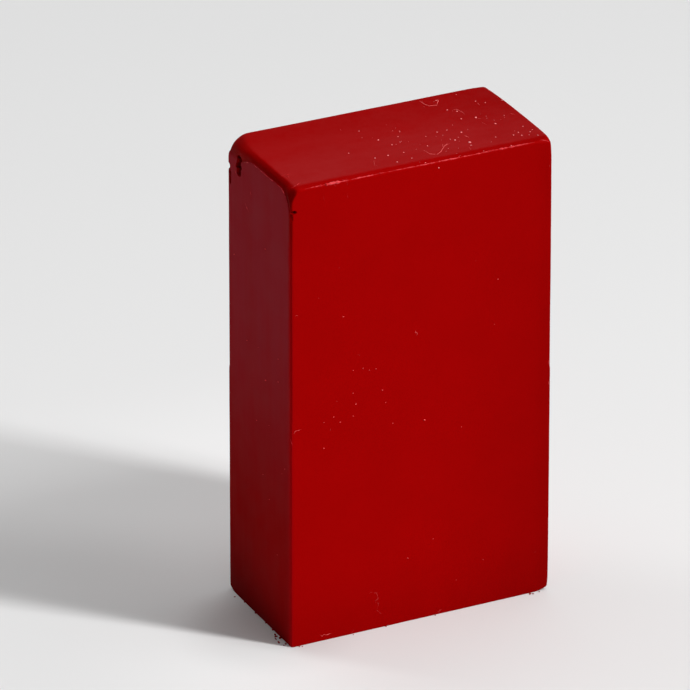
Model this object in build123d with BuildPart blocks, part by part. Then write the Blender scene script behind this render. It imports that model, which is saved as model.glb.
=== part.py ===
"""Detailing clay bar: one cast block of kneadable polymer clay, standing on its end.

Millimetres. +X runs along the width, +Y from the broad front face to the broad back face, and +Z up the
height. The origin is the middle of the foot. The block is lofted through three outlines, because handling
has rounded its two upper corners most at the front and back faces and least halfway between them. The foot
is then cut flat. A fine bead of mould flash runs along the upper edge of the front face.
"""

import os

from build123d import *

# The block
bar_width = 40.0
bar_thickness = 20.0
bar_height = 70.0

# Radii of the upper corners in the three outlines, left and right as seen from the front
upper_left_front = 2.2
upper_left_middle = 1.2
upper_left_back = 3.1
upper_right_front = 1.4
upper_right_middle = 0.5
upper_right_back = 1.4

# Rounding along the edges of the broad faces and of the foot
edge_radius = 0.3

# Length of clay below the foot that the cut takes off
foot_stock = 5.0

# The bead of flash along the front's upper edge, most of it sunk in the block
flash_radius = 0.15
flash_proud = 0.05
flash_setback = 0.2
flash_end_gap = 1.0

half_width = bar_width / 2
half_thickness = bar_thickness / 2
flash_start = -half_width + upper_left_front + flash_end_gap
flash_end = half_width - upper_right_front - flash_end_gap
flash_axis_y = -half_thickness + flash_setback
flash_axis_z = bar_height - flash_radius + flash_proud

os.makedirs("parts", exist_ok=True)

with BuildPart() as clay_block:
    for y, upper_left, upper_right in (
        (-half_thickness, upper_left_front, upper_right_front),
        (0, upper_left_middle, upper_right_middle),
        (half_thickness, upper_left_back, upper_right_back),
    ):
        # This plane's normal points to -Y, so its offset is counted backwards
        with BuildSketch(Plane.XZ.offset(-y)):
            with BuildLine():
                FilletPolyline(
                    (-half_width, -foot_stock),
                    (-half_width, bar_height),
                    (half_width, bar_height),
                    (half_width, -foot_stock),
                    radius=[upper_left, upper_right],
                )
                Line((half_width, -foot_stock), (-half_width, -foot_stock))
            make_face()
    loft()
    split(bisect_by=Plane.XY, keep=Keep.TOP)
    broad_faces = clay_block.faces().filter_by(GeomType.PLANE).filter_by(Axis.Y)
    foot = clay_block.faces().sort_by(Axis.Z)[0]
    fillet((broad_faces + [foot]).edges(), radius=edge_radius)

    # The bead of flash is a thin rod with rounded ends
    with BuildSketch(Plane.YZ.offset(flash_start)):
        with Locations((flash_axis_y, flash_axis_z)):
            Circle(flash_radius)
    extrude(amount=flash_end - flash_start)
    with Locations(
        (flash_start, flash_axis_y, flash_axis_z),
        (flash_end, flash_axis_y, flash_axis_z),
    ):
        Sphere(flash_radius)

clay_block.part.label = "clay_block"
export_step(clay_block.part, "parts/clay_block.step")
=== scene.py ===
"""A bar of red detailing clay standing on its end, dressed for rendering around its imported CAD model."""

import math

import bmesh
import bpy
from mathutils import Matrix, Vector


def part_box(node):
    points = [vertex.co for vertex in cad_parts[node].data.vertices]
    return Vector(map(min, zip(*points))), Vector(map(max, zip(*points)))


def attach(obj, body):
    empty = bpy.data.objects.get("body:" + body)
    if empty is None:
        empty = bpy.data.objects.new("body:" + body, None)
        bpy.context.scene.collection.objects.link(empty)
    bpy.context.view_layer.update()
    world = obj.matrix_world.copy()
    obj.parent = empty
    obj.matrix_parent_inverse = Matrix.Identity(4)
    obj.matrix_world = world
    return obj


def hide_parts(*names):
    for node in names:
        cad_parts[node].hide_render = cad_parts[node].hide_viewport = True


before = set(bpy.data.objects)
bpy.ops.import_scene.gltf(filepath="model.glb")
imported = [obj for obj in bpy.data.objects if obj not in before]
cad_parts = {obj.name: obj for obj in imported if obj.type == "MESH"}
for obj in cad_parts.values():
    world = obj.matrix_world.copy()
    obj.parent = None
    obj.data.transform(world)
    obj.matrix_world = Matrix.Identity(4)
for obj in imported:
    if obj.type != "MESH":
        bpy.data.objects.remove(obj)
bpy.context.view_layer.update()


# ------------------------------------------------------------------------------
# The clay block
# One block of through-coloured polymer clay, pressed in a mould and cut to length at the foot. It has no
# core and no skin. Handling has rounded its upper corners and left its broad faces almost flat.
# ------------------------------------------------------------------------------

MM = 0.001

block_low, block_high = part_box("clay_block")
block_width = block_high.x - block_low.x
block_thickness = block_high.y - block_low.y
block_height = block_high.z - block_low.z


class Field:
    """A number at every point of a mesh. Each operator on it adds one node to its tree."""

    def __init__(self, tree, socket):
        self.tree = tree
        self.socket = socket

    def combine(self, operation, *values):
        return add_node(self.tree, "ShaderNodeMath", (self, *values), operation=operation)

    def __add__(self, other):
        return self.combine("ADD", other)

    def __sub__(self, other):
        return self.combine("SUBTRACT", other)

    def __mul__(self, other):
        return self.combine("MULTIPLY", other)

    def __truediv__(self, other):
        return self.combine("DIVIDE", other)

    def __pow__(self, other):
        return self.combine("POWER", other)

    def at_least(self, other):
        return self.combine("MAXIMUM", other)

    def at_most(self, other):
        return self.combine("MINIMUM", other)

    def __abs__(self):
        return self.combine("ABSOLUTE")

    def above(self, limit):
        return self.combine("GREATER_THAN", limit)

    def sign(self):
        return self.combine("SIGN")

    def rest(self):
        """One less the field."""
        return self * -1.0 + 1.0

    def hypotenuse(self, other):
        return (self * self + other * other).combine("SQRT")

    def plug(self, name, field):
        """Links a field into the named input of the node that makes this one."""
        self.tree.links.new(field.socket, self.socket.node.inputs[name])

    def ramp(self, start, end, low=0.0, high=1.0):
        """Eases from low to high as the field goes from start to end."""
        values = (self, start, end, low, high)
        return add_node(self.tree, "ShaderNodeMapRange", values, interpolation_type="SMOOTHSTEP")


def add_node(tree, kind, values=(), output=0, **settings):
    """Adds one node with its settings and first inputs, and gives the field that leaves it."""
    node = tree.nodes.new(kind)
    for name, value in settings.items():
        setattr(node, name, value)
    for plug, value in zip(node.inputs, values):
        if isinstance(value, Field):
            tree.links.new(value.socket, plug)
        elif value is not None:
            plug.default_value = value
    return Field(tree, node.outputs[output])


def new_tree(name, sizes):
    """A Geometry Nodes tree with the named inputs, and the fields that read them."""
    tree = bpy.data.node_groups.new(name, "GeometryNodeTree")
    tree.interface.new_socket("Geometry", in_out="INPUT", socket_type="NodeSocketGeometry")
    tree.interface.new_socket("Geometry", in_out="OUTPUT", socket_type="NodeSocketGeometry")
    kinds = {int: "NodeSocketInt", float: "NodeSocketFloat", bpy.types.Object: "NodeSocketObject"}
    for label, value in sizes.items():
        tree.interface.new_socket(label, in_out="INPUT", socket_type=kinds[type(value)])
    entry = tree.nodes.new("NodeGroupInput")
    fields = {plug.name: Field(tree, plug) for plug in entry.outputs if plug.name}
    return tree, fields


def end_tree(tree, geometry, material):
    """Ends a tree in Realize Instances and Set Material."""
    whole = add_node(tree, "GeometryNodeRealizeInstances", (geometry,))
    painted = add_node(tree, "GeometryNodeSetMaterial", (whole, None, material))
    tree.links.new(painted.socket, tree.nodes.new("NodeGroupOutput").inputs[0])


def settle(piece):
    """Keeps what a piece's modifiers make as a plain mesh, and drops them."""
    depsgraph = bpy.context.evaluated_depsgraph_get()
    mesh = bpy.data.meshes.new_from_object(piece.evaluated_get(depsgraph), depsgraph=depsgraph)
    piece.modifiers.clear()
    piece.data = mesh
    mesh.name = piece.name


def add_object(name, data):
    """A new object in the scene."""
    thing = bpy.data.objects.new(name, data)
    bpy.context.scene.collection.objects.link(thing)
    return thing


def grow(name, tree, sizes, seed_mesh=None):
    """Runs a tree on a new object and keeps the result as a plain mesh."""
    piece = add_object(name, seed_mesh or bpy.data.meshes.new(name + "_seed"))
    modifier = piece.modifiers.new("form", "NODES")
    modifier.node_group = tree
    for item in tree.interface.items_tree:
        if item.in_out == "INPUT" and item.name in sizes:
            modifier[item.identifier] = sizes[item.name]
    settle(piece)
    return piece


def set_position(tree, geometry, x, y, z):
    """Moves every point of the geometry to the given fields."""
    point = add_node(tree, "ShaderNodeCombineXYZ", (x, y, z))
    return add_node(tree, "GeometryNodeSetPosition", (geometry, None, point))


def split(vector):
    """The fields x, y and z of a vector field."""
    node = add_node(vector.tree, "ShaderNodeSeparateXYZ", (vector,)).socket.node
    return tuple(Field(vector.tree, plug) for plug in node.outputs)


def read_position(tree):
    """The fields x, y and z of the geometry that the next Set Position changes."""
    return split(add_node(tree, "GeometryNodeInputPosition"))


def lumps(tree, spacing, detail=2.0, shift=0.0):
    """Soft random lumps about zero, a spacing apart."""
    x, y, z = read_position(tree)
    place = add_node(tree, "ShaderNodeCombineXYZ", (x + shift, y, z))
    return add_node(tree, "ShaderNodeTexNoise", (place, None, 1 / spacing, detail)) * 2.0 - 1.0


# Corner radii of the block's outline are given at the front, halfway and at the back
block_sizes = {
    "Width": block_width * 1.0025,
    "Thickness": block_thickness,
    "Height": block_height,
    "Shift": 0.07 * MM,
    "Draft": 0.0035,
    "Left front": 1.7 * MM,
    "Left middle": 1.1 * MM,
    "Left back": 3.1 * MM,
    "Right front": 0.7 * MM,
    "Right middle": 0.5 * MM,
    "Right back": 1.0 * MM,
    "Foot corner": 0.1 * MM,
    "Edge": 0.25 * MM,
    "Left front edge": 0.38 * MM,
    "Soft edge from": 0.8 * MM,
    "Soft edge to": 4.0 * MM,
    "Corner wear": 0.35 * MM,
    "Corner reach": 3.0 * MM,
    "Front roll": 0.22 * MM,
    "Roll reach": 1.5 * MM,
    "Crown": 0.06 * MM,
    "Crown reach": 3.0 * MM,
    "Wave": 0.03 * MM,
    "Ripple": 0.008 * MM,
    "Ragged foot": 0.05 * MM,
    "Ragged reach": 0.7 * MM,
    "Flat foot": 0.8 * MM,
    "Joint step": 0.10 * MM,
    "Step width": 0.05 * MM,
    "Step reach": 1.6 * MM,
    "Facet softness": 0.14 * MM,
    "Facet lump": 0.05 * MM,
}
# Rows of points across the width, thickness and height, and how far they crowd towards the edges
block_rows = (104, 66, 182)
row_crowding = 0.42

# How far apart the lumps of the facets, of the ragged foot, of the wave and of the ripple are
facet_lumps, foot_lumps, wave_lumps, ripple_lumps = 1.1 * MM, 1.3 * MM, 11 * MM, 1.6 * MM

# Flat facets that handling has pressed on corners: a point of each, in millimetres from the front left
# foot corner, and the way that it faces
worn_facets = (
    ((0.58, 0.0, 68.8), (-0.78, -0.42, 0.46)),
    ((40.15, 0.0, 69.0), (0.62, -0.38, 0.68)),
    ((40.32, 0.0, 2.0), (0.94, -0.28, -0.19)),
    ((39.2, 0.0, 0.22), (0.32, -0.15, -0.93)),
    ((40.07, 0.0, 64.5), (0.9996, 0.0, 0.027)),
    ((-0.18, 20.05, 0.6), (-0.55, 0.35, -0.76)),
)


def from_corner(across, back, up):
    """A place in metres, from millimetres measured from the block's front left foot corner."""
    return Vector((block_low.x + across * MM, block_low.y + back * MM, block_low.z + up * MM))


def over_zero(value):
    """The value where it is positive and nothing elsewhere, for numbers and fields alike."""
    return (value + abs(value)) * 0.5


def joint_depth(back):
    """How far under the upper end the mould's joint runs along the left side, in millimetres.

    It dips round the front corner, and again towards the rear one.
    """
    least, front_drop, rear_drop = 0.82, 4.0, 1.35
    front_slope, rear_slope, rear_start = -0.25, 0.22, 11.0
    front_dip = over_zero(back * front_slope + 1.0)
    rear_rise = over_zero((back - rear_start) * rear_slope)
    rear_dip = over_zero(rear_rise * -1.0 + 1.0) * -1.0 + 1.0
    return front_dip * front_dip * front_dip * front_drop + rear_dip * rear_dip * rear_drop + least


def block_form(material):
    """The rounded, slightly tapered and faintly uneven block."""
    tree, size = new_tree("cast_block", block_sizes)
    half_width = size["Width"] * 0.5
    half_thickness = size["Thickness"] * 0.5
    half_height = size["Height"] * 0.5

    # A cube of quads whose rows crowd towards its edges
    shape = add_node(tree, "GeometryNodeMeshCube", ((2.0, 2.0, 2.0), *block_rows))
    x, y, z = (p * (1 + row_crowding) - p * p * p * row_crowding for p in read_position(tree))
    shape = set_position(tree, shape, x * half_width, y * half_thickness, z * half_height + half_height)

    def corner_radius():
        """The outline's corner radius at a point: it grows from the middle towards both faces."""
        x, y, z = read_position(tree)
        towards_face = abs(y / half_thickness) ** 3.0
        at_back = y.above(0.0)
        at_right = x.above(0.0)
        at_top = (z - half_height).above(0.0)
        radii = []
        for side in ("Left", "Right"):
            end = size[side + " front"] + (size[side + " back"] - size[side + " front"]) * at_back
            radii.append(size[side + " middle"] + (end - size[side + " middle"]) * towards_face)
        left, right = radii
        top = left + (right - left) * at_right
        return size["Foot corner"] + (top - size["Foot corner"]) * at_top

    # The outline's corners: a square corner's lines become arcs
    radius = corner_radius()
    x, y, z = read_position(tree)
    up = z - half_height
    beyond_x = (abs(x) - (half_width - radius)).at_least(0.0)
    beyond_z = (abs(up) - (half_height - radius)).at_least(0.0)
    share = (beyond_x.at_least(beyond_z) / beyond_x.hypotenuse(beyond_z)).rest()
    shape = set_position(
        tree, shape, x - x.sign() * beyond_x * share, y, z - up.sign() * beyond_z * share
    )

    # The edges of the broad faces, rounder near the worn upper corners
    radius = corner_radius()
    x, y, z = read_position(tree)
    up = z - half_height
    wear = None
    for side in (-1.0, 1.0):
        for face in (-1.0, 1.0):
            across = x - half_width * side
            through = y - half_thickness * face
            far = across.hypotenuse(through).hypotenuse(z - size["Height"])
            near = (far / size["Corner reach"]).ramp(0.0, 1.0, 1.0, 0.0)
            wear = near if wear is None else wear.at_least(near)
    edge = (size["Edge"] + wear * size["Corner wear"]).at_most(radius * 0.9)
    past_x = abs(x) - (half_width - radius)
    past_z = abs(up) - (half_height - radius)
    out_x = past_x.at_least(0.0)
    out_z = past_z.at_least(0.0)
    reach = out_x.hypotenuse(out_z)
    depth = radius - reach - past_x.at_least(past_z).at_most(0.0)
    in_face = (edge - depth).at_least(0.0)
    in_side = (edge - (half_thickness - abs(y))).at_least(0.0)
    share = (in_face.at_least(in_side) / in_face.hypotenuse(in_side)).rest()
    inward = in_face * share / reach.at_least(1e-9)
    shape = set_position(
        tree,
        shape,
        x - x.sign() * out_x * inward,
        y - y.sign() * in_side * share,
        z - up.sign() * out_z * inward,
    )

    # The upright edge between the front and the left side is softer than the others
    x, y, z = read_position(tree)
    under_top = size["Height"] - z
    soft = size["Left front edge"] * under_top.ramp(size["Soft edge from"], size["Soft edge to"])
    in_x = (x * -1.0 - half_width + soft).at_least(0.0)
    in_y = (y * -1.0 - half_thickness + soft).at_least(0.0)
    share = (in_x.at_least(in_y) / in_x.hypotenuse(in_y).at_least(1e-9)).rest()
    both = in_x.at_most(in_y).above(1e-7)
    shape = set_position(tree, shape, x + in_x * share * both, y + in_y * share * both, z)

    # The mould's draft, and an upper end that is faintly crowned and rolls down to the front edge
    x, y, z = read_position(tree)
    taper = (z / half_height - 1.0) * size["Draft"] * -1.0 + 1.0
    rolled = ((y + half_thickness) / size["Roll reach"]).at_most(1.0).rest() ** 2.0
    crown = ((y / half_thickness) ** 2.0).rest()
    lift = crown * size["Crown"] - rolled * size["Front roll"]
    near_top = (size["Height"] - z).ramp(0.0, size["Crown reach"], 1.0, 0.0)
    shape = set_position(tree, shape, x * taper + size["Shift"], y, z + lift * near_top)

    # The step along the mould's joint on the left side: above it the surface stands a little further in
    x, y, z = read_position(tree)
    ways = split(add_node(tree, "GeometryNodeInputNormal"))
    over_joint = z - size["Height"] + joint_depth((y + half_thickness) / MM) * MM
    step = over_joint.ramp(0.0, size["Step width"])
    step = step * (over_joint / size["Step reach"]).ramp(0.1, 1.0, 1.0, 0.0)
    inset = step * (ways[0] * -1.0).ramp(0.15, 0.5) * size["Joint step"]
    shape = set_position(tree, shape, *(p - way * inset for p, way in zip((x, y, z), ways)))

    # The facets on the corners: what stands past each plane is pressed back softly onto it
    for place, facing in worn_facets:
        x, y, z = read_position(tree)
        point, normal = from_corner(*place), Vector(facing).normalized()
        past = (x - point.x) * normal.x + (y - point.y) * normal.y + (z - point.z) * normal.z
        past = past + lumps(tree, facet_lumps) * size["Facet lump"]
        past = (past + past.hypotenuse(size["Facet softness"])) * 0.5
        shape = set_position(
            tree, shape, x - past * normal.x, y - past * normal.y, z - past * normal.z
        )

    # The ragged cut round the foot, then the faces' faint waves and ripple, which leave the foot flat
    x, y, z = read_position(tree)
    normal = add_node(tree, "GeometryNodeInputNormal")
    facing_x, facing_y, _ = split(normal)
    near_foot = z.ramp(0.0, size["Ragged reach"], 1.0, 0.0)
    ragged = lumps(tree, foot_lumps, 3.0) * size["Ragged foot"] * near_foot
    shape = set_position(tree, shape, x + facing_x * ragged, y + facing_y * ragged, z)
    above_foot = read_position(tree)[2].ramp(0.0, size["Flat foot"])
    swell = lumps(tree, wave_lumps) * size["Wave"] + lumps(tree, ripple_lumps) * size["Ripple"]
    normal = add_node(tree, "GeometryNodeInputNormal")
    push = add_node(tree, "ShaderNodeVectorMath", (normal,), operation="SCALE")
    push.plug("Scale", swell * above_foot)
    shape = add_node(tree, "GeometryNodeSetPosition", (shape, None, None, push))
    shape = add_node(tree, "GeometryNodeSetShadeSmooth", (shape,))
    end_tree(tree, shape, material)
    return tree


def new_material(name, specular, roughness=0.5):
    """A material of one shader, with its node tree and that shader."""
    material = bpy.data.materials.new(name)
    material.use_nodes = True
    tree = material.node_tree
    tree.nodes.clear()
    shader = tree.nodes.new("ShaderNodeBsdfPrincipled")
    shader.inputs["Roughness"].default_value = roughness
    shader.inputs["Specular IOR Level"].default_value = specular
    output = tree.nodes.new("ShaderNodeOutputMaterial")
    tree.links.new(shader.outputs[0], output.inputs[0])
    return material, tree, shader


def mix_colours(tree, factor, first, second):
    """Goes from the first colour to the second as the factor goes from nothing to one."""
    node = tree.nodes.new("ShaderNodeMix")
    node.data_type = "RGBA"
    tree.links.new(factor.socket, node.inputs["Factor"])
    for name, colour in (("A", first), ("B", second)):
        if isinstance(colour, Field):
            tree.links.new(colour.socket, node.inputs[name])
        else:
            node.inputs[name].default_value = (*colour, 1.0)
    return Field(tree, node.outputs["Result"])


def clay_material():
    """Red polymer clay: matt and waxy, faintly clouded, rubbed smoother here and there."""
    material, tree, shader = new_material("red_clay", specular=0.008)
    red, paler_red, black = (0.363, 0.0002, 0.0003), (0.378, 0.0002, 0.0004), (0.0, 0.0, 0.0)
    reflection_red, dust_and_sheen_red = (0.385, 0.0145, 0.0262), (0.345, 0.012, 0.013)
    edge_light_red = (0.62, 0.001, 0.006)
    place = add_node(tree, "ShaderNodeTexCoord", output=3)
    x, y, z = split(place)
    normal_x, _, normal_z = split(add_node(tree, "ShaderNodeNewGeometry", output=1))
    facing_left = normal_x * -1.0
    on_left = facing_left.ramp(0.5, 0.9)

    def cloud(spacing, detail=3.0, stretch=(1.0, 1.0, 1.0)):
        """Soft random clouds about a half, a spacing apart."""
        mapped = add_node(tree, "ShaderNodeMapping", (place,), vector_type="POINT")
        mapped.socket.node.inputs["Scale"].default_value = [s / spacing for s in stretch]
        return add_node(tree, "ShaderNodeTexNoise", (mapped, None, 1.0, detail), noise_dimensions="3D")

    def near(across, back, up, reach):
        """One at a place given from the front left foot corner, easing to nothing a reach away."""
        point = from_corner(across, back, up)
        far = add_node(tree, "ShaderNodeVectorMath", (place, point), output=1, operation="DISTANCE")
        return (far / (reach * MM)).ramp(0.3, 1.0, 1.0, 0.0)

    # The body colour is clouded. Painted shade darkens it low down, towards the right edge, on the upper
    # end and low on the left side towards the rear
    body = mix_colours(tree, cloud(7 * MM).ramp(0.3, 0.7), red, paler_red)
    at_foot = z.ramp(-2 * MM, 12 * MM, 0.12, 0.0) * (on_left + 1.0)
    at_right = x.ramp(-2 * MM, 22 * MM) * z.ramp(0.0, 60 * MM, 0.19, 0.08)
    on_top = normal_z.ramp(0.8, 1.0) * x.at_least(y * 2.0).ramp(2 * MM, 16 * MM, 0.11, 0.15)
    at_right_edge = x.ramp(17 * MM, 20 * MM, 0.0, 0.06)
    low_left = on_left * y.ramp(-6 * MM, 8 * MM, 0.3, 1.0) * z.ramp(4 * MM, 40 * MM, 0.05, 0.0)
    shade = at_foot + at_right + on_top + at_right_edge + low_left

    # Above the mould's joint on the left side the clay is smooth, and painted shade darkens it there, most
    # so at the front corner and a little at the rear corner
    frayed = (cloud(1.3 * MM, 4.0) - 0.5) * 0.5
    over_joint = z / MM - block_height / MM + joint_depth((y - block_low.y) / MM) + frayed * 0.5
    joint_band_shade = over_joint.ramp(-0.03, 0.05) * over_joint.ramp(0.2, 1.6, 0.32, 0.0)
    shade = shade + joint_band_shade * facing_left.ramp(0.2, 0.5) * y.ramp(-4 * MM, 5 * MM, 1.0, 0.3)
    front_corner, rear_corner = near(0.5, 0.2, 68.9, 1.9), near(0.6, 19.0, 69.6, 3.5)
    shade = shade + front_corner * facing_left.ramp(0.3, 0.6) * 0.38
    shade = shade + rear_corner * facing_left.ramp(0.1, 0.5) * 0.15

    # Painted shade darkens the clay inside the pits and along the torn rear edge
    in_pits = near(0.6, 16.4, 67.0, 2.8).at_least(near(0.6, 19.4, 64.6, 2.4))
    torn = in_pits * x.ramp(-19.8 * MM, -19.4 * MM) * y.ramp(9.75 * MM, 9.9 * MM, 1.0, 0.0)
    body = mix_colours(tree, shade + torn * 0.45, body, black)

    # Below the joint lies a bluish painted reflection of the pale table in upright smears, with a little
    # painted light in it; it is weak low down, where the table is in shadow. Its upper border is sharp at
    # the front only
    blur = y.ramp(3 * MM, 9 * MM, 0.04, 0.7)
    under_joint = over_joint.ramp(blur * -1.0, blur, 1.0, 0.0)
    smears = cloud(1.6 * MM, 3.0, (1.0, 1.0, 0.07)).ramp(0.3, 0.7, 0.86, 1.08)
    painted_reflection = facing_left.ramp(0.6, 0.9) * z.ramp(14 * MM, 48 * MM, 0.06, 1.0) * under_joint * smears
    painted_reflection = painted_reflection * y.ramp(-9.6 * MM, -8.9 * MM) * z.ramp(40 * MM, 58 * MM, 0.78, 0.92)
    body = mix_colours(tree, painted_reflection, body, reflection_red)

    # Painted light brightens the rounding of the upright edge at the front left, below the upper end
    painted_edge_light = facing_left.ramp(0.1, 0.4) * y.ramp(-9.9 * MM, -8.5 * MM, 0.45, 0.0)
    body = mix_colours(tree, painted_edge_light * z.ramp(64 * MM, 60 * MM), body, edge_light_red)

    # A breath of dust with painted sheen lies in streaks on the upper end, thickest towards the front but
    # not on its roll
    streaks = cloud(2.2 * MM, 4.0, (0.22, 1.0, 1.0)).ramp(0.3, 0.75, 0.6, 1.0)
    backwards = y.ramp(-8 * MM, 9 * MM, 1.0, 0.12) * (y + frayed * MM).ramp(-9.2 * MM, -8.5 * MM)
    across = x.ramp(6 * MM, 17 * MM, 1.0, 0.7) * (x + frayed * MM * 1.5).ramp(-19.2 * MM, -18.6 * MM)
    dust_and_sheen = normal_z.ramp(0.9, 1.0) * streaks * backwards * across
    body = mix_colours(tree, dust_and_sheen, body, dust_and_sheen_red)
    tree.links.new(body.socket, shader.inputs["Base Color"])

    # Handling has rubbed the surface smoother in patches and in upright streaks. Its grain is very fine
    rubbed = cloud(4 * MM).ramp(0.3, 0.7, 0.40, 0.52)
    streak = cloud(1.2 * MM, 2.0, (1.0, 1.0, 0.12)).ramp(0.4, 0.7, -0.03, 0.05)
    tree.links.new((rubbed + streak).socket, shader.inputs["Roughness"])
    grain = cloud(0.35 * MM, 4.0)
    bump = tree.nodes.new("ShaderNodeBump")
    bump.inputs["Strength"].default_value = 0.25
    bump.inputs["Distance"].default_value = 0.02 * MM
    tree.links.new(grain.socket, bump.inputs["Height"])
    tree.links.new(bump.outputs[0], shader.inputs["Normal"])
    return material


red_clay = clay_material()
block = grow("clay_block_body", block_form(red_clay), block_sizes)


# ------------------------------------------------------------------------------
# The chips and the nick
# Small pieces of the same clay are missing where the bar was knocked: two beside the rear left edge and
# a nick in the front left edge. Each is cut out of the block as a torn, lumpy hollow.
# ------------------------------------------------------------------------------

# Each hollow's middle and half sizes, in millimetres from the front left foot corner
hollows = (
    ((0.20, 16.40, 68.15), (0.95, 0.75, 0.45)),
    ((0.20, 16.40, 67.60), (1.00, 0.62, 0.50)),
    ((0.20, 16.50, 66.90), (1.10, 0.95, 0.60)),
    ((0.15, 16.45, 66.10), (0.95, 0.68, 0.70)),
    ((0.05, 19.75, 65.65), (0.50, 0.46, 0.60)),
    ((0.10, 19.30, 64.85), (0.75, 0.34, 0.50)),
    ((0.10, 19.26, 63.95), (0.70, 0.32, 0.80)),
    ((0.45, -0.02, 66.68), (0.58, 0.50, 0.28)),
    ((0.02, 0.10, 66.80), (0.30, 0.35, 0.18)),
)
hollow_sizes = {"Lump": 0.26, "Lump spacing": 0.55 * MM}
hollow_fineness = 5
hollow_grid = 0.04 * MM
sharp_edge = math.radians(38)


def seeds(name, pairs):
    """Loose points from pairs of a place and half sizes, in millimetres. Each point keeps its sizes."""
    mesh = bpy.data.meshes.new(name)
    mesh.from_pydata([from_corner(*place) for place, _ in pairs], [], [])
    layer = mesh.attributes.new("half", "FLOAT_VECTOR", "POINT")
    for slot, (_, half) in zip(layer.data, pairs):
        slot.vector = Vector(half) * MM
    return mesh


def named(tree, label, kind="FLOAT_VECTOR"):
    """The field that reads an attribute by its name."""
    return add_node(tree, "GeometryNodeInputNamedAttribute", (label,), data_type=kind)


def lump_form(material, name, sizes, fineness):
    """A lumpy ball at each point, as large as the point says, cut off at the table."""
    tree, size = new_tree(name, sizes)
    half = named(tree, "half")
    ball = add_node(tree, "GeometryNodeMeshIcoSphere", (1.0, fineness))
    balls = (size["Geometry"], None, ball, None, None, None, half)
    whole = add_node(tree, "GeometryNodeInstanceOnPoints", balls)
    whole = add_node(tree, "GeometryNodeRealizeInstances", (whole,))
    ways = split(add_node(tree, "GeometryNodeInputNormal"))
    place = add_node(tree, "GeometryNodeInputPosition")
    lump = add_node(tree, "ShaderNodeTexNoise", (place, None, size["Lump spacing"] ** -1.0, 2.0))
    swell = (lump * 2.0 - 1.0) * size["Lump"]
    x, y, z = (p + way * swell * span for p, way, span in zip(split(place), ways, split(half)))
    end_tree(tree, set_position(tree, whole, x, y, z.at_least(0.0)), material)
    return tree


def cut_hollows():
    """Joins the lumps into one closed skin and takes them out of the block."""
    form = lump_form(red_clay, "torn_hollows", hollow_sizes, hollow_fineness)
    cutter = grow("hollows", form, hollow_sizes, seeds("hollow_places", hollows))
    skin = cutter.modifiers.new("skin", "REMESH")
    skin.mode = "VOXEL"
    skin.voxel_size = hollow_grid
    settle(cutter)
    cutter.data.materials.clear()
    cutter.data.materials.append(red_clay)
    cut = block.modifiers.new("hollows", "BOOLEAN")
    cut.operation = "DIFFERENCE"
    cut.solver = "EXACT"
    cut.object = cutter
    settle(block)
    bpy.data.objects.remove(cutter)
    block.data.set_sharp_from_angle(angle=sharp_edge)


cut_hollows()
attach(block, "root")
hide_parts("clay_block")


# ------------------------------------------------------------------------------
# The flash lines
# Clay that squeezed into the joint of the mould and stands up as a hair-thin ridge along the upper front
# edge and under the rounding of the upper left edge. Scratches have raised the same kind of lips.
# ------------------------------------------------------------------------------

flash_sizes = {
    "Spacing": 0.12 * MM,
    "Wander": 0.07 * MM,
    "Wander spacing": 1.1 * MM,
    "Unevenness": 2.1,
    "Taper": 1.6 * MM,
    "Block": block,
}
# A thread has coarse and fine lumps. Its thinnest place and its ends are shares of its own thickness
coarse_lumps, fine_lumps = 0.8 * MM, 0.3 * MM
thinnest, at_ends, thread_sides = 0.12, 0.25, 6


def thin_clay_material():
    """Clay stretched thin, painted paler than the bar for the light that shines through it."""
    material, tree, shader = new_material("thin_clay", specular=0.06, roughness=0.45)
    place = add_node(tree, "ShaderNodeTexCoord", output=3)
    tone = add_node(tree, "ShaderNodeTexNoise", (place, None, 1 / (1.5 * MM), 2.0)).ramp(0.35, 0.65)
    body = mix_colours(tree, tone, (0.48, 0.008, 0.011), (0.85, 0.072, 0.085))
    tree.links.new(body.socket, shader.inputs["Base Color"])
    return material


def polyline(name, runs):
    """A mesh of open runs of points. The thread's half thickness is stored at each point."""
    places, edges, radii = [], [], []
    for run in runs:
        start = len(places)
        places += [from_corner(*place) for place, _ in run]
        radii += [radius * MM for _, radius in run]
        edges += [(start + i, start + i + 1) for i in range(len(run) - 1)]
    mesh = bpy.data.meshes.new(name)
    mesh.from_pydata(places, edges, [])
    layer = mesh.attributes.new("radius", "FLOAT", "POINT")
    layer.data.foreach_set("value", radii)
    return mesh


def join(tree, first, second):
    """The two geometries as one."""
    node = tree.nodes.new("GeometryNodeJoinGeometry")
    for part in (first, second):
        tree.links.new(part.socket, node.inputs[0])
    return Field(tree, node.outputs[0])


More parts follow.
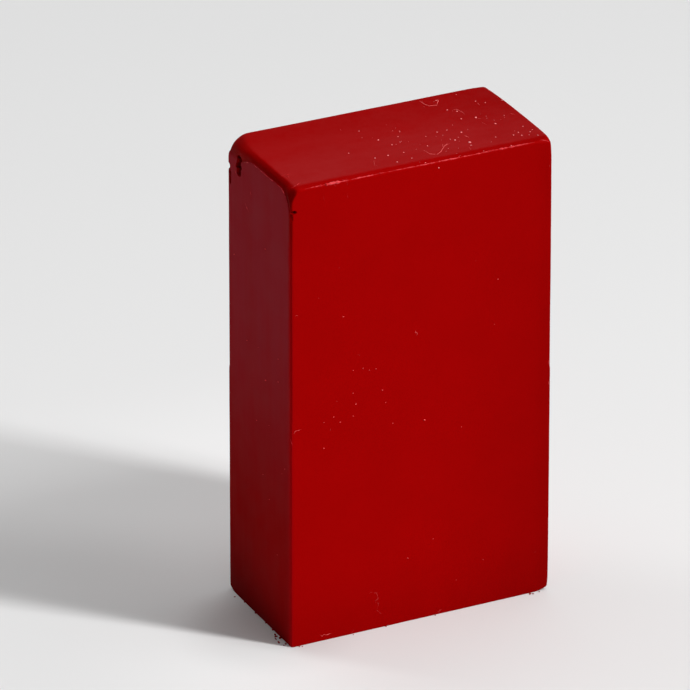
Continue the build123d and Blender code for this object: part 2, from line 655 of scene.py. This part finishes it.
def thread_form(material, name, sizes, strewn=None):
    """An uneven thread along each run of points, half sunk in the block's surface."""
    tree, size = new_tree(name, sizes)
    body = add_node(tree, "GeometryNodeObjectInfo", (size["Block"],), output=4)
    curve = add_node(tree, "GeometryNodeMeshToCurve", (size["Geometry"],))
    if strewn:
        curve = join(tree, curve, strewn(tree, size, body))
    curve = add_node(tree, "GeometryNodeResampleCurve", (curve,), mode="LENGTH")
    curve.plug("Length", size["Spacing"])
    place = add_node(tree, "GeometryNodeInputPosition")
    wander = (place, None, size["Wander spacing"] ** -1.0, 3.0)
    wander = split(add_node(tree, "ShaderNodeTexNoise", wander, output=1))
    drift = [(part - 0.5) * 2.0 * size["Wander"] for part in wander]
    curve = set_position(tree, curve, *(p + d for p, d in zip(split(place), drift)))
    surface = add_node(tree, "GeometryNodeProximity", (body,), target_element="FACES")
    curve = add_node(tree, "GeometryNodeSetPosition", (curve, None, surface))

    ends = tree.nodes.new("GeometryNodeSplineParameter")
    along = Field(tree, ends.outputs["Length"])
    share = Field(tree, ends.outputs["Factor"])
    whole_length = along / share.at_least(1e-6)
    end_gap = along.at_most(whole_length - along)
    taper = (end_gap / size["Taper"]).ramp(0.0, 1.0, at_ends, 1.0)
    uneven = lumps(tree, coarse_lumps, 3.0, 0.02) * size["Unevenness"] + 1.0
    uneven = uneven + lumps(tree, fine_lumps, 2.0, 0.05) * size["Unevenness"]
    thick = named(tree, "radius", "FLOAT") * uneven.at_least(thinnest) * taper
    ring = add_node(tree, "GeometryNodeCurvePrimitiveCircle", (thread_sides, None, None, None, 1.0))
    thread = add_node(tree, "GeometryNodeCurveToMesh", (curve, ring, thick, True))
    end_tree(tree, add_node(tree, "GeometryNodeSetShadeSmooth", (thread,)), material)
    return tree


# The ridge along the upper front edge: thick near the left corner, thin halfway, thick again at the
# right. Each run gives places from the front left foot corner and half thicknesses, in millimetres
front_ridge = (
    ((2.3, 0.0, 69.95), 0.08),
    ((4.6, 0.0, 69.97), 0.09),
    ((6.1, 0.0, 69.97), 0.11),
    ((8.4, 0.0, 69.98), 0.10),
    ((10.7, 0.0, 69.98), 0.07),
    ((15.0, 0.0, 70.02), 0.055),
    ((21.0, 0.0, 70.00), 0.05),
    ((27.2, 0.0, 70.00), 0.055),
    ((29.0, 0.0, 70.03), 0.06),
    ((32.3, 0.0, 70.00), 0.09),
    ((34.0, 0.0, 70.02), 0.08),
    ((36.5, 0.0, 69.98), 0.05),
    ((37.3, 0.0, 69.93), 0.05),
)
corner_ridge = (
    ((0.7, 1.3, 69.7), 0.05),
    ((1.1, 1.2, 69.9), 0.07),
    ((1.6, 1.3, 70.0), 0.07),
    ((2.4, 1.8, 70.1), 0.06),
)
right_corner_ridge = (((38.2, 0.3, 70.0), 0.05), ((38.9, 0.1, 69.9), 0.07), ((39.6, 0.0, 69.5), 0.05))

# Hair-fine scratches with raised lips, by the upper left front corner, on the front and the left side
scratches = (
    (((6.2, 0.3, 70.0), 0.02), ((6.9, 0.0, 69.3), 0.025)),
    (((7.9, 0.5, 70.1), 0.02), ((8.5, 0.0, 69.9), 0.03), ((8.7, 0.0, 69.0), 0.02)),
    (((8.2, 0.0, 69.9), 0.03), ((8.9, 0.6, 70.1), 0.02)),
    (((5.0, 0.0, 68.3), 0.05), ((5.1, 0.0, 67.6), 0.05)),
    (((8.6, 0.0, 68.0), 0.025), ((8.7, 0.0, 67.2), 0.025)),
    (((1.4, 5.0, 70.1), 0.05), ((1.7, 4.4, 70.1), 0.10), ((1.7, 3.6, 70.1), 0.06)),
    (((1.0, 4.9, 70.1), 0.04), ((1.9, 4.8, 70.1), 0.07), ((2.6, 4.9, 70.1), 0.04)),
    (((0.0, 0.2, 32.4), 0.06), ((0.3, 0.0, 31.2), 0.04)),
    (((0.0, 12.9, 65.3), 0.06), ((0.0, 12.7, 64.6), 0.09), ((0.0, 12.3, 63.8), 0.06)),
    (((0.0, 14.5, 62.2), 0.04), ((0.0, 13.9, 61.7), 0.07), ((0.0, 13.3, 61.3), 0.04)),
    (((0.0, 17.9, 67.2), 0.06), ((0.0, 17.9, 66.2), 0.10), ((0.0, 17.3, 65.3), 0.06)),
)


def left_ridge():
    """The ridge under the rounding of the upper left edge: it dives towards the front corner."""
    rearmost, foremost, steps, crowding, half_thickness = 14.8, 0.4, 24, 1.6, 0.028
    run = []
    for step in range(steps + 1):
        back = rearmost * (1 - step / steps) ** crowding + foremost
        run.append(((0.0, back, 70.0 - joint_depth(back)), half_thickness))
    return tuple(run)


flash = grow(
    "flash_lines",
    thread_form(thin_clay_material(), "flash_ridge", flash_sizes),
    flash_sizes,
    polyline("flash_runs", (front_ridge, corner_ridge, right_corner_ridge, *scratches, left_ridge())),
)
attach(flash, "root")


# ------------------------------------------------------------------------------
# The lint
# Fine pale fibres of cloth that the tacky clay has picked up. Bent threads lie on the surface: some are
# listed one by one on the upper end and the front, the rest are strewn over the back and the right side.
# ------------------------------------------------------------------------------

lint_sizes = {
    "Spacing": 0.08 * MM,
    "Wander": 0.10 * MM,
    "Wander spacing": 0.9 * MM,
    "Unevenness": 1.2,
    "Taper": 0.5 * MM,
    "Strewn per square metre": 6000.0,
    "Strewn half thickness": 0.020 * MM,
    "Arc radius": 0.9 * MM,
    "Arc sweep": 1.9,
    "Arc points": 10,
    "Seed": 4,
    "Stretch seed": 9,
    "Block": block,
}


def lint_material():
    """Bleached cotton, stained a little by the clay under it."""
    material, _, shader = new_material("pale_lint", specular=0.1, roughness=0.8)
    shader.inputs["Base Color"].default_value = (0.98, 0.17, 0.17, 1.0)
    return material


def lint_run(half_thickness, *places):
    """A fibre of one thickness through the places."""
    return tuple((place, half_thickness) for place in places)


# A height just over the upper end, from where a thread or a grain settles onto it
TOP = 70.1
lint_runs = (
    lint_run(
        0.034, (29.1, 19.2, TOP), (29.2, 17.8, TOP), (29.5, 16.9, TOP),
        (30.6, 16.7, TOP), (31.7, 18.3, TOP),
    ),
    lint_run(0.030, (31.9, 14.3, TOP), (32.4, 14.2, TOP), (32.6, 13.3, TOP), (32.7, 12.3, TOP)),
    lint_run(
        0.026, (22.2, 4.0, TOP), (22.4, 2.5, TOP), (23.2, 1.9, TOP),
        (24.1, 2.5, TOP), (25.0, 3.6, TOP), (25.4, 4.6, TOP),
    ),
    lint_run(0.022, (25.0, 3.6, TOP), (26.0, 4.4, TOP), (26.4, 4.3, TOP)),
    lint_run(0.014, (14.6, 4.0, TOP), (13.9, 2.6, TOP), (14.3, 2.0, TOP)),
    lint_run(0.034, (29.4, 5.8, TOP), (29.6, 5.1, TOP)),
    lint_run(0.022, (28.2, 2.1, TOP), (28.1, 1.4, TOP)),
    lint_run(0.026, (33.6, 10.1, TOP), (34.0, 9.9, TOP)),
    lint_run(0.030, (36.0, 15.0, TOP), (35.9, 13.9, TOP)),
    lint_run(0.018, (33.5, 8.8, TOP), (33.8, 7.6, TOP)),
    lint_run(0.018, (38.4, 9.8, TOP), (38.8, 9.0, TOP)),
    lint_run(0.020, (19.2, 0, 45.2), (19.0, 0, 44.8), (19.4, 0, 44.6), (19.2, 0, 44.2)),
    lint_run(0.022, (10.2, 0, 43.2), (10.5, 0, 43.1)),
    lint_run(0.014, (0.4, 0, 33.1), (0.6, 0, 33.6), (1.0, 0, 33.6), (1.6, 0, 33.6)),
    lint_run(0.010, (0.7, 0, 51.0), (0.8, 0, 51.2), (1.1, 0, 51.1), (1.0, 0, 50.8)),
    lint_run(0.014, (5.9, 0, 32.5), (6.1, 0, 32.8)),
    lint_run(
        0.007, (11.8, 0, 5.6), (12.3, 0, 5.9), (13.2, 0, 5.6), (13.4, 0, 4.7),
        (12.9, 0, 4.3), (13.5, 0, 3.8), (13.2, 0, 2.9), (13.9, 0, 2.1),
    ),
    lint_run(0.020, (22.8, 0, 0.3), (23.4, 0, 0.7)),
    lint_run(0.020, (9.3, 0, 0.2), (9.6, 0, 0.7)),
    lint_run(0.018, (4.3, 0, 1.2), (4.7, 0, 0.7), (5.0, 0, 1.0), (5.3, 0, 0.8), (6.1, 0, 0.9)),
    lint_run(0.020, (40.0, 0, 36.4), (39.8, 0, 35.4)),
    lint_run(0.020, (39.9, 0, 32.8), (40.0, 0, 32.0)),
)


def strew(tree, size, body, density):
    """Points strewn over a body's faces as thickly as asked, and the way that each one's face looks."""
    points = add_node(tree, "GeometryNodeDistributePointsOnFaces", (body,))
    points.plug("Density", density)
    points.plug("Seed", size["Seed"])
    return points, Field(tree, points.socket.node.outputs["Rotation"])


def random_number(tree, high=1.0):
    """A random number for each point, from nothing up to the given one."""
    limits = (None, None, 0.0, high)
    return add_node(tree, "FunctionNodeRandomValue", limits, output=1, data_type="FLOAT")


def random_vector(tree, low, high, seed):
    """A random vector for each point, between the given ones."""
    vector = add_node(tree, "FunctionNodeRandomValue", (low, high), data_type="FLOAT_VECTOR")
    vector.plug("Seed", seed)
    return vector


def turn_over_face(tree, facing, angles):
    """The way that a point's face looks, turned further by the angles."""
    turn = add_node(tree, "FunctionNodeEulerToRotation", (angles,))
    return add_node(tree, "FunctionNodeRotateRotation", (facing, turn), rotation_space="LOCAL")


def strewn_lint(tree, size, body):
    """Short arcs of thread strewn over the back and the right side."""
    to_right, to_back, _ = split(add_node(tree, "GeometryNodeInputNormal"))
    hidden = to_back.at_least(to_right).above(0.7)
    points, facing = strew(tree, size, body, hidden * size["Strewn per square metre"])
    spin = add_node(tree, "ShaderNodeCombineXYZ", (None, None, random_number(tree, math.tau)))
    facing = turn_over_face(tree, facing, spin)
    stretch = random_vector(tree, (0.4, 0.3, 0.0), (1.6, 1.5, 0.0), size["Stretch seed"])
    arc = add_node(tree, "GeometryNodeCurveArc")
    arc.plug("Resolution", size["Arc points"])
    arc.plug("Radius", size["Arc radius"])
    arc.plug("Sweep Angle", size["Arc sweep"])
    arcs = (points, None, arc, None, None, facing, stretch)
    arcs = add_node(tree, "GeometryNodeInstanceOnPoints", arcs)
    arcs = add_node(tree, "GeometryNodeRealizeInstances", (arcs,))
    radius = (arcs, None, "radius", size["Strewn half thickness"])
    return add_node(tree, "GeometryNodeStoreNamedAttribute", radius, data_type="FLOAT")


lint = grow(
    "lint_fibres",
    thread_form(lint_material(), "lint_threads", lint_sizes, strewn_lint),
    lint_sizes,
    polyline("lint_runs", lint_runs),
)
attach(lint, "root")


# ------------------------------------------------------------------------------
# The dust specks
# Grains of dust stuck in the tacky clay, thickest on the right of the upper end. They are half sunk in
# the block's faces: the ones that stand out are listed, and the rest are strewn.
# ------------------------------------------------------------------------------

# The places of the grains that stand out, in millimetres from the front left foot corner
grains_by_hand = [
    (across, back, TOP)
    for across, back in (
        (29.5, 7.0), (31.5, 11.0), (29.0, 3.5), (33.5, 10.5), (35.5, 3.0), (36.5, 3.5), (38.0, 5.0),
        (38.5, 1.5), (35.0, 7.5), (36.0, 15.5), (37.0, 14.5), (12.5, 7.5), (15.0, 4.5), (17.0, 4.5),
        (33.0, 3.5), (27.5, 5.0), (28.0, 8.5), (26.5, 8.5), (22.0, 11.0), (21.0, 9.5), (17.0, 13.5),
    )
] + [
    (across, 0.0, up)
    for across, up in (
        (9.5, 41.0), (11.0, 41.0), (12.0, 40.5), (13.0, 40.5), (9.5, 37.5), (14.0, 37.0), (14.5, 35.0),
        (9.5, 34.0), (6.5, 34.5), (5.0, 34.0), (7.5, 33.5), (5.0, 30.0), (8.0, 49.5), (20.5, 31.0),
        (18.0, 10.0), (22.5, 69.0),
    )
] + [
    (0.0, back, up)
    for back, up in (
        (8.0, 58.0), (18.0, 53.0), (14.0, 41.5), (4.0, 43.0), (8.0, 38.0), (4.0, 39.5), (11.0, 30.5),
        (7.0, 31.5), (2.0, 27.0), (9.0, 23.0), (7.0, 20.0), (4.5, 12.5),
    )
]
# Half widths of the listed grains, in millimetres, and how flat they are
grain_on_top, grain_on_side, grain_shape = 0.048, 0.06, Vector((1.0, 1.0, 0.5))

# Densities are in grains per square metre
dust_sizes = {
    "Small": 0.036 * MM,
    "Large": 0.120 * MM,
    "Below the top": 0.65,
    "Everywhere": 6000.0,
    "On top": 18000.0,
    "On top at the right": 170000.0,
    "Front middle": 8000.0,
    "Seed": 5,
    "Shape seed": 3,
    "Turn seed": 4,
    "Block": block,
}


def dust_form(material):
    """Flattened grains, most of them small, strewn over the block as thickly as each place asks."""
    tree, size = new_tree("strewn_dust", dust_sizes)
    body = add_node(tree, "GeometryNodeObjectInfo", (size["Block"],), output=4)
    x, y, z = read_position(tree)
    on_top = split(add_node(tree, "GeometryNodeInputNormal"))[2].above(0.7)
    over_right = x.ramp(-6 * MM, 4 * MM)
    front_middle = ((x + 10 * MM).hypotenuse(z - 36 * MM) / (7 * MM)).ramp(0.4, 1.0, 1.0, 0.0)
    patches = lumps(tree, 6 * MM, 2.0, 0.3).ramp(-0.15, 0.25, 0.35, 1.6)
    density = on_top * (over_right * size["On top at the right"] + size["On top"])
    density = density + front_middle * size["Front middle"] + size["Everywhere"]
    points, facing = strew(tree, size, body, density * patches)
    angles = random_vector(tree, (0.0, 0.0, 0.0), (0.0, 0.0, math.pi), size["Turn seed"])
    facing = turn_over_face(tree, facing, angles)

    # A strewn grain gets its size from chance, and a listed grain adds the size at its point
    span = random_number(tree) ** 3.0 * (size["Large"] - size["Small"]) + size["Small"]
    span = span * z.above(block_height - 0.5 * MM).ramp(0.0, 1.0, size["Below the top"], 1.0)
    shape = random_vector(tree, (0.5, 0.5, 0.4), (1.6, 1.6, 0.8), size["Shape seed"])
    scale = add_node(tree, "ShaderNodeVectorMath", (shape,), operation="SCALE")
    scale.plug("Scale", span)
    scale = add_node(tree, "ShaderNodeVectorMath", (scale, named(tree, "half")), operation="ADD")
    grain = add_node(tree, "GeometryNodeMeshIcoSphere", (1.0, 2))
    places = join(tree, points, size["Geometry"])
    grains = (places, None, grain, None, None, facing, scale)
    end_tree(tree, add_node(tree, "GeometryNodeInstanceOnPoints", grains), material)
    return tree


def dust_material():
    """Pale household dust, warmed by the red around it, least on the upper end."""
    material, tree, shader = new_material("pale_dust", specular=0.1, roughness=0.8)
    height = split(add_node(tree, "ShaderNodeTexCoord", output=3))[2]
    tint = mix_colours(tree, height.ramp(60 * MM, 69 * MM), (0.98, 0.11, 0.11), (0.98, 0.30, 0.31))
    tree.links.new(tint.socket, shader.inputs["Base Color"])
    return material


grains = [
    (place, grain_shape * (grain_on_top if place[2] == TOP else grain_on_side))
    for place in grains_by_hand
]
grain_seeds = seeds("grain_places", grains)
dust = grow("dust_specks", dust_form(dust_material()), dust_sizes, grain_seeds)
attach(dust, "root")


# ------------------------------------------------------------------------------
# The crumbs round the foot
# Crumbs of the same clay, left where the bar was cut and stood down. They lie against the foot.
# ------------------------------------------------------------------------------

# Each crumb's middle and half sizes, in millimetres from the front left foot corner
crumbs = (
    ((-0.90, 3.30, 0.07), (0.08, 0.33, 0.08)),
    ((-0.60, 3.85, 0.10), (0.26, 0.08, 0.10)),
    ((-0.45, 4.40, 0.10), (0.09, 0.28, 0.10)),
    ((-0.95, 2.20, 0.07), (0.13, 0.28, 0.08)),
    ((-0.25, 3.20, 0.12), (0.19, 0.16, 0.14)),
    ((-0.70, 1.10, 0.06), (0.12, 0.09, 0.08)),
    ((-0.30, 1.35, 0.08), (0.12, 0.18, 0.10)),
    ((-0.12, 5.90, 0.07), (0.12, 0.16, 0.09)),
    ((-0.10, 8.20, 0.06), (0.10, 0.12, 0.07)),
    ((-0.12, 11.5, 0.08), (0.13, 0.20, 0.09)),
    ((-0.10, 15.2, 0.06), (0.11, 0.14, 0.08)),
    ((-0.65, 17.2, 0.06), (0.16, 0.07, 0.07)),
    ((1.10, -0.20, 0.07), (0.12, 0.10, 0.09)),
    ((1.45, -0.38, 0.05), (0.08, 0.07, 0.06)),
    ((9.40, -0.32, 0.05), (0.08, 0.09, 0.06)),
    ((14.6, -0.12, 0.05), (0.12, 0.09, 0.06)),
    ((22.3, -0.15, 0.05), (0.10, 0.09, 0.06)),
    ((37.2, -0.30, 0.09), (0.16, 0.13, 0.12)),
    ((37.6, -0.45, 0.07), (0.11, 0.10, 0.09)),
    ((38.7, -0.25, 0.06), (0.09, 0.10, 0.07)),
    ((40.5, 6.40, 0.07), (0.12, 0.10, 0.09)),
    ((40.7, 14.9, 0.09), (0.14, 0.15, 0.11)),
    ((29.3, 20.3, 0.07), (0.13, 0.11, 0.09)),
    ((8.90, 20.3, 0.09), (0.15, 0.12, 0.11)),
)
crumb_sizes = {"Lump": 0.45, "Lump spacing": 0.22 * MM}
crumb_fineness = 3

crumb_form = lump_form(red_clay, "crumbs", crumb_sizes, crumb_fineness)
foot_crumbs = grow("foot_crumbs", crumb_form, crumb_sizes, seeds("crumb_places", crumbs))
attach(foot_crumbs, "root")


# ------------------------------------------------------------------------------
# The block's finished skin
# The cut left slivers of skin along the rims of the hollows, some of them back to back. They are cleared
# last, because the fibres and grains above are dealt out by the block's faces.
# ------------------------------------------------------------------------------

shortest_edge = 0.001 * MM


def clear_rims():
    """Closes up edges that have no length and faces that have no area, and leaves triangles."""
    skin = bmesh.new()
    skin.from_mesh(block.data)
    bmesh.ops.triangulate(skin, faces=[face for face in skin.faces if len(face.verts) > 4])
    bmesh.ops.dissolve_degenerate(skin, dist=shortest_edge, edges=skin.edges)
    bmesh.ops.triangulate(skin, faces=skin.faces)
    skin.to_mesh(block.data)
    skin.free()
    block.data.set_sharp_from_angle(angle=sharp_edge)


clear_rims()


# ------------------------------------------------------------------------------
# The table, the light and the camera
# A pale matt table top, two soft boxes one over the other at the front right, and a pale room above. The
# table also glows a little, for the camera alone, so that it looks as evenly pale as a backdrop. Its glow
# also paints light and shadow round the bar's shadow and foot.
# ------------------------------------------------------------------------------

table_half_width = 3.0


def table_glow(tree):
    """How brightly the table glows by itself at each place, painting light and shadow round the bar. It
    lights nothing.
    """
    x, y, _ = split(add_node(tree, "ShaderNodeTexCoord", output=3))

    def distance(across, back):
        """How far away a place is, given in millimetres from the middle of the foot."""
        return (x - across * MM).hypotenuse(y - back * MM)

    # It grows towards the rear, weakens at the right and far behind, and leaves out the foot's left side,
    # which paints a darker contact shadow there
    behind = (x + y * 1.5).ramp(0.0, 36 * MM, 0.07, 0.15)
    behind = behind * x.at_least(y - 45 * MM).ramp(0.0, 35 * MM, 1.0, 0.62)
    beside_foot = distance(-21, -4).ramp(6 * MM, 15 * MM)

    # Two soft patches of painted light: by the rear left corner, and past a slanting line by the front
    # left corner, along the near edge of the bar's shadow
    rear_corner = distance(-18, 17).ramp(0.0, 30 * MM, 1.0, 0.0) ** 2.0 * 0.06
    past_line = ((x + 20 * MM) * 0.74 + (y + 10 * MM) * 0.68).ramp(-3 * MM, 1 * MM, 1.0, 0.0)
    in_front = distance(-26, -12).ramp(0.0, 45 * MM, 1.0, 0.0) ** 2.0 * 0.10
    return behind * beside_foot + rear_corner + in_front * past_line


def pale_table():
    """A wide flat sheet under the bar."""
    material, tree, shader = new_material("table_top", specular=0.0, roughness=0.9)
    shader.inputs["Base Color"].default_value = (0.70, 0.70, 0.70, 1.0)
    shader.inputs["Emission Color"].default_value = (1.0, 1.0, 1.0, 1.0)
    in_sight = Field(tree, tree.nodes.new("ShaderNodeLightPath").outputs["Is Camera Ray"])
    tree.links.new((in_sight * table_glow(tree)).socket, shader.inputs["Emission Strength"])
    low, high = -table_half_width, table_half_width
    mesh = bpy.data.meshes.new("table")
    corners = [(low, low, 0), (high, low, 0), (high, high, 0), (low, high, 0)]
    mesh.from_pydata(corners, [], [(0, 1, 2, 3)])
    mesh.materials.append(material)
    table = add_object("table", mesh)


def hang(name, lamp, bearing, elevation, distance):
    """Hangs a lamp facing the bar's middle. Its bearing turns from +X to +Y. Angles are in degrees."""
    holder = add_object(name, lamp)
    a, e = math.radians(bearing), math.radians(elevation)
    towards = Vector((math.cos(a) * math.cos(e), math.sin(a) * math.cos(e), math.sin(e)))
    holder.location = towards * distance + Vector((0.0, 0.0, block_height / 2))
    holder.rotation_mode = "QUATERNION"
    holder.rotation_quaternion = towards.to_track_quat("Z", "Y")


def strip_lamp(name, level, wide, tall, bearing, elevation, distance):
    """A soft box facing the bar. Its light does not weaken with distance.

    A white sheet that faces it squarely, at the given distance, has its level.
    """
    lamp = bpy.data.lights.new(name, "AREA")
    lamp.shape = "RECTANGLE"
    lamp.size = wide
    lamp.size_y = tall
    lamp.energy = level * (math.pi * distance) ** 2
    lamp.use_nodes = True
    tree = lamp.node_tree
    falloff = tree.nodes.new("ShaderNodeLightFalloff")
    falloff.inputs["Strength"].default_value = 1 / distance**2
    tree.links.new(falloff.outputs["Constant"], tree.nodes["Emission"].inputs["Strength"])
    hang(name, lamp, bearing, elevation, distance)


def far_lamp(name, level, spread, bearing, elevation):
    """A lamp far away that fills a disc of sky, spread degrees across."""
    lamp = bpy.data.lights.new(name, "SUN")
    lamp.energy = level * math.pi
    lamp.angle = math.radians(spread)
    hang(name, lamp, bearing, elevation, 1.0)


def surround(lit, seen):
    """The even light of a pale room, and how bright its walls look by themselves and in reflections."""
    world = bpy.data.worlds.new("surround")
    world.use_nodes = True
    bpy.context.scene.world = world
    tree = world.node_tree
    paths = tree.nodes.new("ShaderNodeLightPath")
    in_sight = Field(tree, paths.outputs["Is Camera Ray"])
    for ray in ("Is Glossy Ray", "Is Transmission Ray"):
        in_sight = in_sight.at_least(Field(tree, paths.outputs[ray]))
    background = tree.nodes["Background"]
    background.inputs["Color"].default_value = (1.0, 1.0, 1.0, 1.0)
    tree.links.new((in_sight * (seen - lit) + lit).socket, background.inputs["Strength"])


def set_camera():
    """A long lens, turned to the bar's left and looking down on it."""
    azimuth, elevation, distance = math.radians(-26.043), math.radians(25.824), 1.0508
    aim = Vector((-5.0, 3.8, 37.7)) * MM
    across = math.cos(elevation)
    back = Vector((math.sin(azimuth) * across, -math.cos(azimuth) * across, math.sin(elevation)))
    data = bpy.data.cameras.new("camera")
    data.sensor_width = 36.0
    data.lens = 393.2
    camera = add_object("camera", data)
    camera.location = aim + back * distance
    camera.rotation_mode = "QUATERNION"
    camera.rotation_quaternion = back.to_track_quat("Z", "Y")
    bpy.context.scene.camera = camera


pale_table()
strip_lamp("key_low", level=0.55, wide=0.042, tall=0.095, bearing=-47.5, elevation=28.0, distance=0.45)
strip_lamp("key_high", level=0.325, wide=0.042, tall=0.11, bearing=-49.9, elevation=53.0, distance=0.45)
far_lamp("overhead", level=0.385, spread=60.0, bearing=60.0, elevation=78.0)
far_lamp("overhead_front", level=0.13, spread=50.0, bearing=-45.0, elevation=62.0)
surround(lit=0.01, seen=0.6)
set_camera()
bpy.context.scene.view_settings.view_transform = "Standard"
